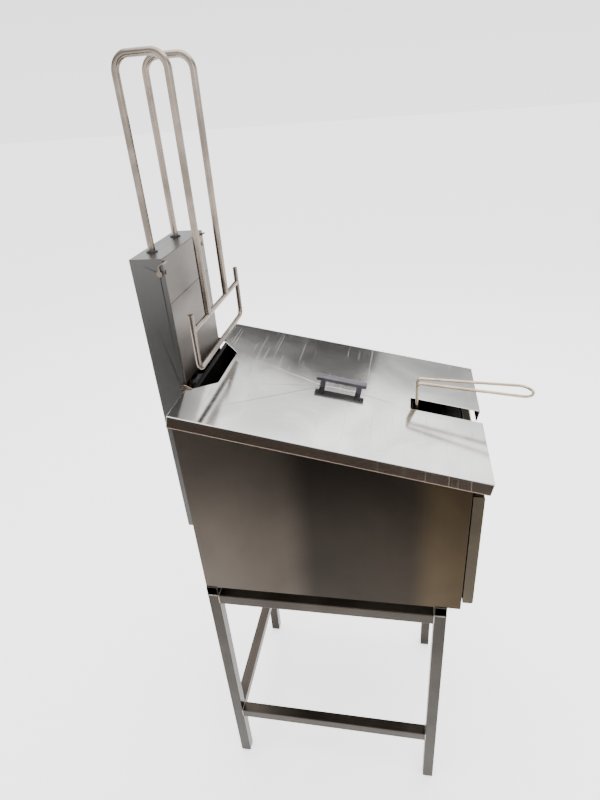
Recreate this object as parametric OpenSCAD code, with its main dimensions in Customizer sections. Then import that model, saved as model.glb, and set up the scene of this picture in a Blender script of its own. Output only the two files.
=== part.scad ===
// Floor-standing deep fryer with an automatic basket lift.
// Millimetres, +Z up, front (controls and basket handle) towards -Y, back (lift tower) towards +Y.
// Origin: on the floor, at the middle of the stand.

/* [Stand] */
// Outside size of the square tube
tube = 25; // [20:1:32]
// Wall of the square tube
tube_wall = 1.5; // [1:0.5:3]
// Width of the stand over its legs
stand_w = 418; // [340:2:560]
// Depth of the stand over its legs
stand_d = 516; // [420:2:660]
// Height of the legs, up to the cross tubes
leg_h = 620; // [400:1:800]
// Height of the lower rails' top face
lower_rail_h = 187; // [80:1:300]
// Height of the plastic foot plugs below the tube ends
foot_h = 4; // [2:1:10]

/* [Cabinet] */
// How far the cabinet's sides stand in from the stand's sides
cab_inset = 2; // [0:1:10]
// How far the cabinet stands out in front of the legs
cab_overhang = 26; // [10:1:60]
// Thickness of the folded sheets
sheet = 1.5; // [1:0.5:2.5]
// Height of the cabinet's back, from its base to the lid
cab_rear_h = 449; // [370:1:620]
// Slope of the deck and the lid, in degrees
slope = 11.6; // [6:0.1:16]
// Depth of the control fascia, front to back
fascia_d = 20; // [16:1:40]
// Drop from the deck's front edge to the fascia's top edge
fascia_gap = 26; // [16:1:60]

/* [Tank] */
// Gap between the tank's side and the cabinet's side
tank_side_gap = 35; // [25:1:60]
// Width of the deck strip in front of the tank
tank_front_strip = 44; // [44:1:80]
// Width of the deck strip behind the tank
tank_rear_strip = 9; // [7:1:30]
// Height of the tank's floor above the cabinet's base
tank_floor_h = 145; // [120:1:200]
// Radius of the heating tube
heater_r = 4; // [3:0.1:5]

/* [Lid] */
// Overhang of the lid in front of the fascia
lid_overhang = 11; // [6:1:30]
// Gap between the cabinet's side and the lid's flange
lid_side_gap = 12; // [6:1:25]
// Depth of the lid's flanges
flange = 25; // [15:1:32]
// Gap between the deck and the lid, taken up by the pads that carry the lid
lid_gap = 17; // [12:1:18]
// Width of the slot for the basket's handle
slot_w = 45; // [37:0.5:70]
// Gap between the basket's handle and the inner end of that slot
slot_gap = 9; // [8:0.5:30]
// Gap between the tower's side and the side of the rear notch
notch_gap = 6; // [5:0.5:12]
// Width of the rear notch at its front edge
notch_front_w = 142; // [80:1:180]
// Depth of the rear notch
notch_d = 50; // [40:1:90]
// Length of the lid's handle
grip_len = 104; // [86:1:160]

/* [Basket] */
// Gap between the basket's side and the tank's side
basket_side_gap = 32; // [26:1:60]
// Gap between the basket's front and the tank's front
basket_front_gap = 59; // [49:1:90]
// Room between the basket's rim and the lid
basket_head = 67; // [55:1:100]
// Radius of the handle wire
handle_r = 3; // [2:0.1:3.2]
// Rise of the handle above the lid
handle_rise = 54; // [45:1:90]
// Reach of the handle in front of the basket
handle_len = 222; // [180:1:280]

/* [Lift] */
// Width of the tower
tower_w = 216; // [178:2:262]
// Depth of the tower
tower_d = 62; // [51:1:90]
// Height of the tower's foot above the cabinet's base
tower_foot_h = 83; // [40:1:140]
// Height of the tower above the lid's rear edge
tower_rise = 251; // [200:1:340]
// Radius of the lift's bent rods
rod_r = 6.35; // [5:0.05:7.7]
// Distance between the two rods
rod_pitch = 116; // [96:1:130]
// Height of the bent rods above the tower, as parked
rod_rise = 306; // [250:1:400]
// Distance from a rod's rear leg to its front leg
rod_reach = 88; // [72:1:120]
// Radius of the rods' bends
rod_bend = 26; // [18:1:34]
// Radius of the hanger's bars
bar_r = 5; // [4:0.1:6]
// How much wider the hanger is than the basket, between the middles of its posts
hanger_extra_w = 4; // [0:1:20]
// Height of the hanger's lower bar above the lid's rear edge, as parked
hanger_rise = 54; // [50:1:100]
// Height of the crossbar above the lower bar
hanger_h = 75; // [50:1:95]
// Height of the posts above the crossbar
post_rise = 32; // [15:1:60]

/* [Fits] */
// Radial clearance of a sliding rod in its bush
slide_gap = 0.08; // [0.02:0.01:0.1]
// Radial clearance of a turning spindle
spin_gap = 0.05; // [0.02:0.01:0.1]

/* [Drive] */
// Module of the rack and pinion
gear_m = 1.5; // [1.2:0.05:1.8]
// Teeth of the pinion
pinion_teeth = 20; // [18:1:24]
// Width of the rack and pinion
gear_w = 10; // [6:1:14]

/* [Hidden] */
$fn = 48;

steel = "silver";
dark = "dimgray";
black = "#222222";

// Middle of the stand: it puts the origin at the middle of the whole depth
stand_y = 46;

// Cabinet
base_z = leg_h + tube;
cab_w = stand_w - 2 * cab_inset;
cab_front_y = stand_y - stand_d / 2 - cab_overhang;
cab_rear_y = stand_y + stand_d / 2;
lid_rear_y = cab_rear_y - 2;
lid_rear_z = base_z + cab_rear_h;
panel_return = 12;
shadow_gap = 2;
deck_drop = 2 * sheet + lid_gap;
fascia_front_y = cab_front_y - shadow_gap - fascia_d;
fascia_z = base_z + 20;
fascia_r = 4;
fascia_h = lid_z(cab_front_y) - deck_drop - fascia_gap - fascia_z;
knob_z = fascia_z + 80;
lamp_z = knob_z + 50;

// Lid
lid_w = cab_w + 2 * (lid_side_gap + sheet);
lid_len = (lid_rear_y - fascia_front_y + lid_overhang) / cos(slope);

// Lift
tower_front_y = cab_rear_y;
tower_top_z = lid_rear_z + tower_rise;
tower_foot_z = base_z + tower_foot_h;
rod_y = tower_front_y + 0.63 * tower_d;
gear_y = rod_y - 5;
rod_top_z = tower_top_z + rod_rise;
hanger_low_z = lid_rear_z + hanger_rise;
crossbar_z = hanger_low_z + hanger_h;
hanger_y = rod_y - rod_reach;
pin_y = tower_front_y + 6;
pin_z = lid_rear_z - 10;
pin_r = 3;
cover_split_z = tower_top_z - 83;
catch_y = tower_front_y + 8;
catch_z = tower_top_z - 26;

// Drive
pinion_r = gear_m * pinion_teeth / 2;
rack_pitch = PI * gear_m;
shaft_r = 4;
pinion_z = lid_rear_z - 59;
rod_foot_z = pinion_z - 5;
guide_z = pinion_z + 30;
rack_n = floor((tower_top_z - 53 - pinion_z) / rack_pitch);
rack_top_z = pinion_z + (rack_n + 0.5) * rack_pitch;

// Tank and basket
tank_w = cab_w - 2 * tank_side_gap;
tank_front_y = cab_front_y + tank_front_strip;
tank_rear_y = cab_rear_y - tank_rear_strip;
tank_floor_z = base_z + tank_floor_h;
drain_y = (tank_front_y + tank_rear_y) / 2 - 60;
drain_pipe_r = 12;
drain_drop = 24;
lever_z = base_z - drain_drop - 22;
heater_n = 4;
heater_z = tank_floor_z + 14;
heater_end_x = tank_w / 2 - 50;
heater_pitch = 2 * heater_end_x / (2 * heater_n - 1);
heater_front_y = tank_front_y + 50;
heater_back_y = tank_rear_y - 46;
rest_r = 2;
rest_z = heater_z + heater_r + 3 * rest_r + 2;
rim_r = 3;
basket_w = tank_w - 2 * basket_side_gap;
basket_bottom_z = rest_z + rest_r + 0.5;
basket_front_y = tank_front_y + basket_front_gap;
basket_rear_y = hanger_y - 24;
rim_z = lid_z(basket_front_y) - basket_head;
shank_y = basket_front_y - rim_r - handle_r;
shank_half = 10;
loop_half = slot_w / 2 - 0.5;
handle_top_z = lid_z(shank_y) + handle_rise;
handle_fall = 20;
handle_foot = 0.6 * (rim_z - basket_bottom_z);
hanger_w = basket_w + hanger_extra_w;

// Controls, from the fascia's middle
timer_x = tank_w / 2 - 88;
thermostat_x = timer_x - 62;
switch_x = timer_x - 130;

// Height of the lid's top face at a given depth
function lid_z(y) = lid_rear_z - (lid_rear_y - y) * tan(slope);

// Frame of the lid: origin on its rear top edge, -Y down the slope, +Z square to the sheet
module on_lid() { translate([0, lid_rear_y, lid_rear_z]) rotate([slope, 0, 0]) children(); }

// Box given by its lowest corner and its highest corner
module span(a, b) { translate(a) cube(b - a); }

// Square tube along Z, from the origin
module square_tube(length) {
    difference() {
        translate([-tube / 2, -tube / 2, 0]) cube([tube, tube, length]);
        translate([-tube / 2 + tube_wall, -tube / 2 + tube_wall, -1])
            cube([tube - 2 * tube_wall, tube - 2 * tube_wall, length + 2]);
    }
}

// The part of the children that lies below the sloping deck
module below_deck() {
    difference() {
        children();
        on_lid() translate([-stand_w, -2 * stand_d, -deck_drop]) cube([2 * stand_w, 3 * stand_d, 600]);
    }
}

// Cylinders along X and along Y, centred on their length
module bar_x(r, length) { rotate([0, 90, 0]) cylinder(r = r, h = length, center = true); }
module bar_y(r, length) { rotate([90, 0, 0]) cylinder(r = r, h = length, center = true); }

// Quarter bend of a round bar in the XY plane, from +X towards +Y, about the origin
module quarter_bend(bend, r) {
    rotate_extrude(angle = 90, $fn = 96) translate([bend, 0]) circle(r = r, $fn = 32);
}
// The same bend in the YZ plane: from +Y up to +Z, and from +Z down to -Y
module bend_back(bend, r) { rotate([90, 0, 90]) quarter_bend(bend, r); }
module bend_front(bend, r) { rotate([90, 0, 90]) rotate([0, 0, 90]) quarter_bend(bend, r); }

// ---- stand ----
module leg(sx, sy) {
    color(dark) translate([sx * (stand_w - tube) / 2, stand_y + sy * (stand_d - tube) / 2, foot_h])
        square_tube(leg_h - foot_h);
}
module foot_plugs() {
    inner = tube - 2 * tube_wall;
    plug_depth = 14;
    color(black) for (sx = [-1, 1], sy = [-1, 1])
        translate([sx * (stand_w - tube) / 2, stand_y + sy * (stand_d - tube) / 2, 0]) {
            translate([-tube / 2 + 0.5, -tube / 2 + 0.5, 0]) cube([tube - 1, tube - 1, foot_h]);
            translate([-inner / 2, -inner / 2, 0]) cube([inner, inner, foot_h + plug_depth]);
        }
}
module rail_y(sx, top) {
    color(dark) translate([sx * (stand_w - tube) / 2, stand_y + stand_d / 2 - tube, top - tube / 2])
        rotate([90, 0, 0]) square_tube(stand_d - 2 * tube);
}
module cross_tube(sy) {
    color(dark) translate([-stand_w / 2, stand_y + sy * (stand_d - tube) / 2, leg_h + tube / 2])
        rotate([0, 90, 0]) square_tube(stand_w);
}
module lower_rail_rear() {
    color(dark) translate([-stand_w / 2 + tube, stand_y + (stand_d - tube) / 2, lower_rail_h - tube / 2])
        rotate([0, 90, 0]) square_tube(stand_w - 2 * tube);
}

// ---- cabinet ----
module side_panel(sx) {
    color(steel) below_deck() scale([sx, 1, 1]) {
        span([cab_w / 2 - sheet, cab_front_y, base_z], [cab_w / 2, cab_rear_y, lid_rear_z + 40]);
        span([cab_w / 2 - panel_return, cab_front_y, base_z],
            [cab_w / 2 - sheet / 2, cab_front_y + sheet, lid_rear_z]);
    }
}
dial_neck_r = 8;
module front_panel() {
    color(steel) below_deck() difference() {
        span([-cab_w / 2 + panel_return, cab_front_y, base_z],
            [cab_w / 2 - panel_return, cab_front_y + sheet, lid_rear_z]);
        for (x = [thermostat_x, timer_x]) translate([x, cab_front_y, knob_z]) bar_y(dial_neck_r, 10);
    }
}
gland_r = 8;
gland_x = -cab_w / 2 + 42;
gland_z = base_z + 40;
module rear_panel() {
    color(steel) below_deck() difference() {
        span([-cab_w / 2 + sheet, cab_rear_y - sheet, base_z],
            [cab_w / 2 - sheet, cab_rear_y, lid_rear_z + 40]);
        translate([gland_x, cab_rear_y, gland_z]) bar_y(gland_r, 10);
    }
}
module base_panel() {
    color(steel) difference() {
        span([-cab_w / 2 + sheet, cab_front_y + sheet, base_z],
            [cab_w / 2 - sheet, cab_rear_y - sheet, base_z + sheet]);
        translate([0, drain_y, base_z - 1]) cylinder(r = drain_pipe_r + 4, h = sheet + 2);
    }
}
module deck() {
    front_s = (lid_rear_y - cab_front_y) / cos(slope);
    color(steel) difference() {
        on_lid() translate([-cab_w / 2, -front_s, -deck_drop]) cube([cab_w, front_s + 1.5, sheet]);
        span([-tank_w / 2, tank_front_y, tank_floor_z], [tank_w / 2, tank_rear_y, lid_rear_z + 40]);
        span([-cab_w, cab_rear_y, base_z], [cab_w, cab_rear_y + 20, lid_rear_z + 40]);
    }
    pad = 14;
    pad_x = cab_w / 2 - tank_side_gap / 2;
    pad_s = 30;
    rest_gap = 0.3;
    color(steel) on_lid() for (sx = [-1, 1], s = [pad_s, front_s - pad_s])
        translate([sx * pad_x - pad / 2, -s - pad / 2, sheet / 2 - deck_drop])
            cube([pad, pad, lid_gap + sheet / 2 - rest_gap]);
}

// ---- tank and heating ----
bulb_r = 3;
bulb_x = -heater_pitch;
module tank() {
    color(dark) below_deck() difference() {
        span([-tank_w / 2 - sheet, tank_front_y - sheet, tank_floor_z - sheet],
            [tank_w / 2 + sheet, tank_rear_y + sheet, lid_rear_z + 40]);
        span([-tank_w / 2, tank_front_y, tank_floor_z],
            [tank_w / 2, tank_rear_y, lid_rear_z + 60]);
        translate([0, drain_y, tank_floor_z - 5]) cylinder(r = drain_pipe_r - 2, h = 10);
        for (sx = [-1, 1]) translate([sx * heater_end_x, tank_front_y, heater_z]) bar_y(heater_r, 10);
        translate([bulb_x, tank_front_y, heater_z]) bar_y(bulb_r, 10);
    }
}
module drain_pipe() {
    color(steel) translate([0, drain_y, base_z - drain_drop]) difference() {
        cylinder(r = drain_pipe_r, h = tank_floor_z - sheet - base_z + drain_drop);
        translate([0, 0, -1]) cylinder(r = drain_pipe_r - 2, h = 400);
    }
}
stem_r = 4;
module drain_valve_body() {
    bore_r = drain_pipe_r - 3;
    color("goldenrod") translate([0, drain_y, lever_z]) difference() {
        union() {
            translate([0, 0, -22]) cylinder(r = 17, h = 44, $fn = 6);
            translate([0, 0, -34]) cylinder(r = 12, h = 13);
            translate([0, -17, 0]) bar_y(8, 14);
        }
        translate([0, 0, 5]) cylinder(r = bore_r, h = 30);
        translate([0, 0, -40]) cylinder(r = bore_r, h = 35);
        translate([0, -20, 0]) bar_y(stem_r, 20);
    }
}
module drain_lever() {
    lever_l = 85;
    color("firebrick") translate([0, drain_y - 20, lever_z]) {
        bar_y(stem_r - spin_gap, 18);
        translate([-7, -9, -7]) cube([lever_l + 7, 4, 14]);
    }
}
module heating_element() {
    end_y = tank_front_y - sheet - 14;
    legs_y = (heater_front_y + heater_back_y) / 2;
    color("darkslategray") translate([0, 0, heater_z]) {
        for (i = [1:2 * heater_n - 2])
            translate([(i - heater_n + 0.5) * heater_pitch, legs_y, 0])
                bar_y(heater_r, heater_back_y - heater_front_y);
        for (sx = [-1, 1]) translate([sx * heater_end_x, (end_y + heater_back_y) / 2, 0])
            bar_y(heater_r, heater_back_y - end_y);
        for (i = [0:heater_n - 2])
            translate([(2 * i - heater_n + 2) * heater_pitch, heater_front_y, 0])
                rotate([0, 0, 180]) rotate_extrude(angle = 180, $fn = 64)
                    translate([heater_pitch / 2, 0]) circle(r = heater_r, $fn = 24);
        for (i = [0:heater_n - 1])
            translate([(2 * i - heater_n + 1) * heater_pitch, heater_back_y, 0])
                rotate_extrude(angle = 180, $fn = 64)
                    translate([heater_pitch / 2, 0]) circle(r = heater_r, $fn = 24);
    }
}
// A pair of nuts that clamps a rod of the given radius in the tank's front wall
module wall_nuts(rod) {
    nut_h = 7;
    difference() {
        union() {
            translate([0, -sheet, 0]) rotate([90, 0, 0]) cylinder(r = rod + 5, h = nut_h, $fn = 6);
            translate([0, 4, 0]) rotate([90, 0, 0]) cylinder(r = rod + 4, h = 4);
        }
        bar_y(rod, 60);
    }
}
module element_nuts() {
    color("goldenrod") for (sx = [-1, 1]) translate([sx * heater_end_x, tank_front_y, heater_z])
        wall_nuts(heater_r);
    color("goldenrod") translate([bulb_x, tank_front_y, heater_z]) wall_nuts(bulb_r);
}
module thermostat_bulb() {
    bulb_l = 144;
    color("peru") translate([bulb_x, tank_front_y - 14 + bulb_l / 2, heater_z]) bar_y(bulb_r, bulb_l);
}
module basket_rest() {
    x = tank_w / 2 - 20;
    y0 = tank_front_y + 14;
    y1 = basket_rear_y - 6;
    foot_top = rest_z - 2 * rest_r + 0.5;
    color(steel) {
        for (i = [0:6]) translate([-x + i * x / 3, (y0 + y1) / 2, rest_z]) bar_y(rest_r, y1 - y0);
        for (y = [y0 + 4, y1 - 4]) translate([0, y, foot_top]) bar_x(rest_r, 2 * x);
        for (sx = [-1, 1], y = [y0 + 4, y1 - 4])
            translate([sx * (x - 4), y, tank_floor_z]) cylinder(r = rest_r, h = foot_top - tank_floor_z);
    }
}

// ---- controls ----
// Side view of the fascia's tray, drawn in by the given inset
module tray_2d(inset, r) {
    y0 = fascia_front_y + inset;
    z0 = fascia_z + inset;
    high = fascia_h - 2 * inset;
    deep = fascia_d - (inset > 0 ? inset - 1 : 0);
    translate([y0 + r, z0]) square([deep - r, high]);
    translate([y0, z0 + r]) square([2 * r, high - 2 * r]);
    for (z = [z0 + r, z0 + high - r]) translate([y0 + r, z]) circle(r = r);
}
module control_fascia() {
    lip_w = cab_w - 2 * panel_return;
    lip_y = cab_front_y - shadow_gap - 4;
    color(steel) difference() {
        union() {
            translate([-cab_w / 2, 0, 0]) rotate([90, 0, 90]) linear_extrude(cab_w)
                tray_2d(0, fascia_r);
            for (z = [fascia_z, fascia_z + fascia_h - sheet])
                span([-lip_w / 2, lip_y, z], [lip_w / 2, cab_front_y, z + sheet]);
        }
        translate([-cab_w / 2 + sheet, 0, 0]) rotate([90, 0, 90]) linear_extrude(cab_w - 2 * sheet)
            tray_2d(sheet, fascia_r - sheet);
        for (x = [thermostat_x, timer_x]) translate([x, fascia_front_y, knob_z]) bar_y(4.2, 10);
        for (x = [thermostat_x, timer_x]) translate([x, fascia_front_y, lamp_z]) bar_y(5, 10);
        span([switch_x - 8, fascia_front_y - 1, knob_z - 12], [switch_x + 8, fascia_front_y + 5, knob_z + 12]);
    }
}
spindle_r = 3;
module dial_body(x) {
    neck = shadow_gap + fascia_d;
    translate([x, cab_front_y + sheet, knob_z]) difference() {
        union() {
            span([-22, 0, -22], [22, 34, 22]);
            translate([0, -neck / 2, 0]) bar_y(dial_neck_r, neck);
        }
        translate([0, 10 - (neck + 20) / 2, 0]) bar_y(spindle_r, neck + 20);
    }
}
module thermostat_body() { color("whitesmoke") dial_body(thermostat_x); }
module timer_body() { color("ivory") dial_body(timer_x); }
module terminal_block() {
    x = -cab_w / 2 + 87;
    ways = 6;
    way_w = 13;
    color("ivory") difference() {
        span([x, cab_front_y + sheet, base_z + 30], [x + ways * way_w + 2, cab_front_y + 20, base_z + 50]);
        for (i = [0:ways - 1]) span([x + 3 + i * way_w, cab_front_y + 12, base_z + 34],
            [x + 12 + i * way_w, cab_front_y + 21, base_z + 46]);
    }
}
module cable_gland() {
    color(black) translate([gland_x, cab_rear_y, gland_z]) difference() {
        union() {
            bar_y(gland_r, 24);
            translate([0, 8, 0]) rotate([90, 0, 0]) cylinder(r = 13, h = 8, $fn = 6);
            translate([0, -sheet, 0]) rotate([90, 0, 0]) cylinder(r = 12, h = 5);
            translate([0, 12, 0]) bar_y(10, 8);
        }
        bar_y(5, 60);
    }
}
module knob(x) {
    color(black) translate([x, fascia_front_y, knob_z]) {
        translate([0, -11.5, 0]) bar_y(19, 21);
        translate([0, 8, 0]) bar_y(spindle_r - spin_gap, 20);
        translate([-3, -25, -18]) cube([6, 5, 36]);
    }
}
switch_pin_r = 1.2;
switch_pin_y = 3;
module power_switch_frame() {
    color(black) translate([switch_x, fascia_front_y, knob_z]) difference() {
        union() {
            span([-10, -2, -15], [10, 0, 15]);
            span([-8, 0, -12], [8, 14, 12]);
        }
        span([-6, -3, -10], [6, 11, 10]);
        translate([0, switch_pin_y, 0]) bar_x(switch_pin_r, 15);
    }
}
module power_rocker() {
    tilt = 8;
    wide = 11.4;
    color("red") translate([switch_x, fascia_front_y + switch_pin_y, knob_z]) {
        rotate([tilt, 0, 0]) translate([-wide / 2, 0, 0]) rotate([90, 0, 90]) linear_extrude(wide)
            polygon([[-7.5, 8], [-6, 0], [-7.5, -8], [2, -5], [2, 5]]);
        bar_x(switch_pin_r - spin_gap, wide + 3);
    }
}
module pilot_lamps() {
    color("orange") for (x = [thermostat_x, timer_x]) translate([x, fascia_front_y, lamp_z]) {
        translate([0, -2, 0]) bar_y(7, 4);
        translate([0, 4, 0]) bar_y(5, 9);
    }
}

// ---- tower ----
bush_r = rod_r + 2.5;
catch_pin_r = 2.5;
module tower_casing() {
    color(dark) difference() {
        span([-tower_w / 2, tower_front_y, tower_foot_z],
            [tower_w / 2, tower_front_y + tower_d, tower_top_z]);
        span([-tower_w / 2 + sheet, tower_front_y - 1, tower_foot_z + sheet],
            [tower_w / 2 - sheet, tower_front_y + tower_d - sheet, tower_top_z - sheet]);
        for (sx = [-1, 1]) translate([sx * rod_pitch / 2, rod_y, tower_top_z - 10])
            cylinder(r = bush_r, h = 20);
        for (sx = [-1, 1]) translate([sx * tower_w / 2, pin_y, pin_z]) bar_x(pin_r, 10);
        for (sx = [-1, 1]) translate([sx * tower_w / 2, catch_y, catch_z]) bar_x(catch_pin_r, 10);
    }
}
cover_d = 12;
module tower_cover(z0, z1) {
    x = tower_w / 2 - sheet;
    color(dark) difference() {
        span([-x, tower_front_y, z0], [x, tower_front_y + cover_d, z1]);
        span([-x + sheet, tower_front_y + sheet, z0 - 1], [x - sheet, tower_front_y + cover_d + 1, z1 + 1]);
        for (sx = [-1, 1]) translate([sx * x, catch_y, catch_z]) bar_x(catch_pin_r + 1, 10);
    }
}
module tower_cover_lower() { tower_cover(lid_rear_z + 4, cover_split_z - 0.5); }
module tower_cover_upper() {
    tower_cover(cover_split_z + 0.5, tower_top_z - sheet);
    color(steel) for (sx = [-1, 1]) translate([sx * (tower_w / 2 - 9), tower_front_y - 0.75, catch_z])
        bar_y(4, 1.5);
}
// Wire hook that swings forward off the upper cover
module tower_catch(sx) {
    wire = 1.8;
    bend = 10.5;
    x = 2.4;
    color(steel) scale([sx, 1, 1]) translate([tower_w / 2, catch_y, catch_z]) {
        rotate([0, 90, 0]) translate([0, 0, -sheet]) cylinder(r = catch_pin_r - spin_gap, h = sheet + 4);
        translate([x, 0, 0]) bar_x(5.5, 3.2);
        translate([x, 0, 0]) cylinder(r = wire, h = 8);
        translate([x, -bend, 8]) bend_back(bend, wire);
        translate([x - 7, -bend, 8 + bend]) bar_x(wire, 14 + 2 * wire);
    }
}
module rod_bushes() {
    color(black) for (sx = [-1, 1]) translate([sx * rod_pitch / 2, rod_y, tower_top_z]) difference() {
        union() {
            cylinder(r = bush_r + 1.5, h = 3);
            translate([0, 0, -22]) cylinder(r = bush_r, h = 23);
        }
        translate([0, 0, -30]) cylinder(r = rod_r + slide_gap, h = 60);
    }
}
module rod_guides() {
    back = tower_front_y + tower_d - sheet;
    color("white") for (sx = [-1, 1]) difference() {
        span([sx * rod_pitch / 2 - 12, rod_y - 11, guide_z],
            [sx * rod_pitch / 2 + 12, back, guide_z + 20]);
        translate([sx * rod_pitch / 2, rod_y, guide_z - 1]) cylinder(r = rod_r + slide_gap, h = 30);
    }
}
module lid_pivot_pins() {
    color(steel) for (sx = [-1, 1]) translate([sx * (tower_w / 2 + 5), pin_y, pin_z]) {
        bar_x(pin_r, 16);
        translate([sx * 6.5, 0, 0]) bar_x(pin_r + 2, 3);
    }
}

// ---- lift drive ----
// Half the angle of a pinion tooth at the pitch circle, thinned by the backlash
tooth_half = 90 / pinion_teeth - 0.35;
pressure = 20;
base_r = pinion_r * cos(pressure);
function involute(t) = tan(t) * 180 / PI - t;
function flank_r(i) = base_r + (pinion_r + gear_m - base_r) * i / 5;
function flank_a(r) = tooth_half + involute(pressure) - involute(acos(min(1, base_r / r)));
module pinion_2d() {
    root = pinion_r - 1.25 * gear_m;
    fillet_a = 0.8;
    points = [for (k = [0:pinion_teeth - 1]) each concat(
        [[root, k * 360 / pinion_teeth - flank_a(base_r) - fillet_a]],
        [for (i = [0:5]) [flank_r(i), k * 360 / pinion_teeth - flank_a(flank_r(i))]],
        [for (i = [5:-1:0]) [flank_r(i), k * 360 / pinion_teeth + flank_a(flank_r(i))]],
        [[root, k * 360 / pinion_teeth + flank_a(base_r) + fillet_a]])];
    polygon([for (p = points) [p[0] * cos(p[1]), p[0] * sin(p[1])]]);
}
motor_y = tower_front_y + 4;
module gear_motor() {
    motor_r = 13;
    color("slategray") difference() {
        union() {
            span([-22, motor_y, pinion_z - 26], [22, gear_y - gear_w / 2 - 3, pinion_z + 20]);
            translate([-8, motor_y + motor_r, pinion_z - 120]) cylinder(r = motor_r, h = 95);
            translate([-8, motor_y + motor_r, pinion_z - 128]) cylinder(r = 5, h = 10);
        }
        translate([0, gear_y - gear_w / 2 - 5, pinion_z]) bar_y(shaft_r + spin_gap, 22);
    }
}
module motor_bracket() {
    color(steel) {
        span([-30, tower_front_y, pinion_z - 30], [30, motor_y, pinion_z + 24]);
        span([-30, motor_y - 1, pinion_z - 30],
            [-27, tower_front_y + tower_d - sheet, pinion_z - 10]);
    }
}
module drive_pinion() {
    color("goldenrod") translate([0, gear_y, pinion_z]) rotate([90, 0, 0]) {
        translate([0, 0, -gear_w / 2]) linear_extrude(gear_w) pinion_2d();
        cylinder(r = shaft_r, h = gear_w / 2 + 11);
    }
}
module rack_2d() {
    tip = gear_m;
    root = 1.25 * gear_m;
    half = rack_pitch / 4 - 0.08;
    lean = tan(pressure);
    back_x = pinion_r + root + 10;
    low = -1.5 * rack_pitch;
    high = (rack_n + 0.5) * rack_pitch;
    teeth = [for (k = [rack_n - 1:-1:0]) let (c = (k - 0.5) * rack_pitch) each [
        [pinion_r + root, c + half + root * lean], [pinion_r - tip, c + half - tip * lean],
        [pinion_r - tip, c - half + tip * lean], [pinion_r + root, c - half - root * lean]]];
    polygon(concat([[back_x, low], [back_x, high], [pinion_r + root, high]], teeth,
        [[pinion_r + root, low]]));
}
module drive_rack() {
    color(steel) translate([0, gear_y, pinion_z]) rotate([90, 0, 0])
        translate([0, 0, -gear_w / 2]) linear_extrude(gear_w) rack_2d();
}
module lift_crosshead() {
    half_y = gear_w / 2 + 5;
    color(steel) difference() {
        union() {
            span([-rod_pitch / 2 - 12, gear_y - half_y, rack_top_z],
                [rod_pitch / 2 + 12, gear_y + half_y, rack_top_z + 12]);
            for (sx = [-1, 1]) translate([sx * rod_pitch / 2, rod_y, rack_top_z])
                cylinder(r = rod_r + 4, h = 16);
        }
        for (sx = [-1, 1]) translate([sx * rod_pitch / 2, rod_y, rack_top_z - 1])
            cylinder(r = rod_r, h = 30);
    }
}

// ---- rods and hanger ----
// One bent rod: rear leg in the tower, top run, front leg down to the crossbar
module cane_rod(sx) {
    top = rod_top_z;
    groove_w = 4;
    groove_d = 1.2;
    groove_top = top - 87;
    color(steel) translate([sx * rod_pitch / 2, 0, 0]) difference() {
        union() {
            translate([0, rod_y, rod_foot_z]) cylinder(r = rod_r, h = top - rod_bend - rod_foot_z);
            translate([0, rod_y - rod_bend, top - rod_bend]) bend_back(rod_bend, rod_r);
            translate([0, rod_y - rod_reach / 2, top]) bar_y(rod_r, rod_reach - 2 * rod_bend);
            translate([0, hanger_y + rod_bend, top - rod_bend]) bend_front(rod_bend, rod_r);
            translate([0, hanger_y, crossbar_z]) cylinder(r = rod_r, h = top - rod_bend - crossbar_z);
        }
        translate([0, hanger_y, crossbar_z]) bar_x(bar_r, 40);
        if (sx < 0) span([-groove_w / 2, rod_y - rod_r - 1, rod_foot_z - 1],
            [groove_w / 2, rod_y - rod_r + groove_d, groove_top]);
    }
}
module hanger_crossbar() {
    color(steel) difference() {
        translate([0, hanger_y, crossbar_z]) bar_x(bar_r, hanger_w);
        for (sx = [-1, 1]) translate([sx * hanger_w / 2, hanger_y, crossbar_z - 20])
            cylinder(r = bar_r, h = 40);
    }
}
module hanger_frame() {
    bend = 14;
    low = hanger_low_z;
    color(steel) {
        for (sx = [-1, 1]) translate([sx * hanger_w / 2, hanger_y, low + bend])
            cylinder(r = bar_r, h = hanger_h + post_rise - bend);
        translate([0, hanger_y, low]) bar_x(bar_r, hanger_w - 2 * bend);
        translate([hanger_w / 2 - bend, hanger_y, low + bend]) rotate([90, 0, 0]) rotate([0, 0, -90])
            quarter_bend(bend, bar_r);
        translate([-hanger_w / 2 + bend, hanger_y, low + bend]) rotate([90, 0, 0]) rotate([0, 0, 180])
            quarter_bend(bend, bar_r);
    }
}

// ---- lid ----
grip_rise = 16;
grip_post = 38 * grip_len / 104;
screw_r = 2;
module on_grip_posts() {
    on_lid() for (e = [-1, 1]) translate([0, -lid_len / 2 + e * grip_post, 0]) children();
}
module lid_panel() {
    x = lid_w / 2;
    notch_w = tower_w + 2 * notch_gap;
    taper_start = 10;
    slot_end_y = shank_y + handle_r + slot_gap;
    slot_end_s = (lid_rear_y - slot_end_y) / cos(slope);
    color(steel) difference() {
        on_lid() difference() {
            translate([-x, -lid_len, -flange]) cube([lid_w, lid_len, flange]);
            translate([-x + sheet, -lid_len + sheet, -flange - 1])
                cube([lid_w - 2 * sheet, lid_len, flange + 1 - sheet]);
            translate([-slot_w / 2, -lid_len - 1, -flange - 1])
                cube([slot_w, lid_len - slot_end_s + 1, flange + 2]);
            translate([0, 0, -5]) linear_extrude(10) polygon([
                [-notch_w / 2, 1], [-notch_w / 2, -taper_start], [-notch_front_w / 2, -notch_d],
                [notch_front_w / 2, -notch_d], [notch_w / 2, -taper_start], [notch_w / 2, 1]]);
        }
        on_grip_posts() translate([0, 0, -10]) cylinder(r = screw_r, h = 20);
    }
}
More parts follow.
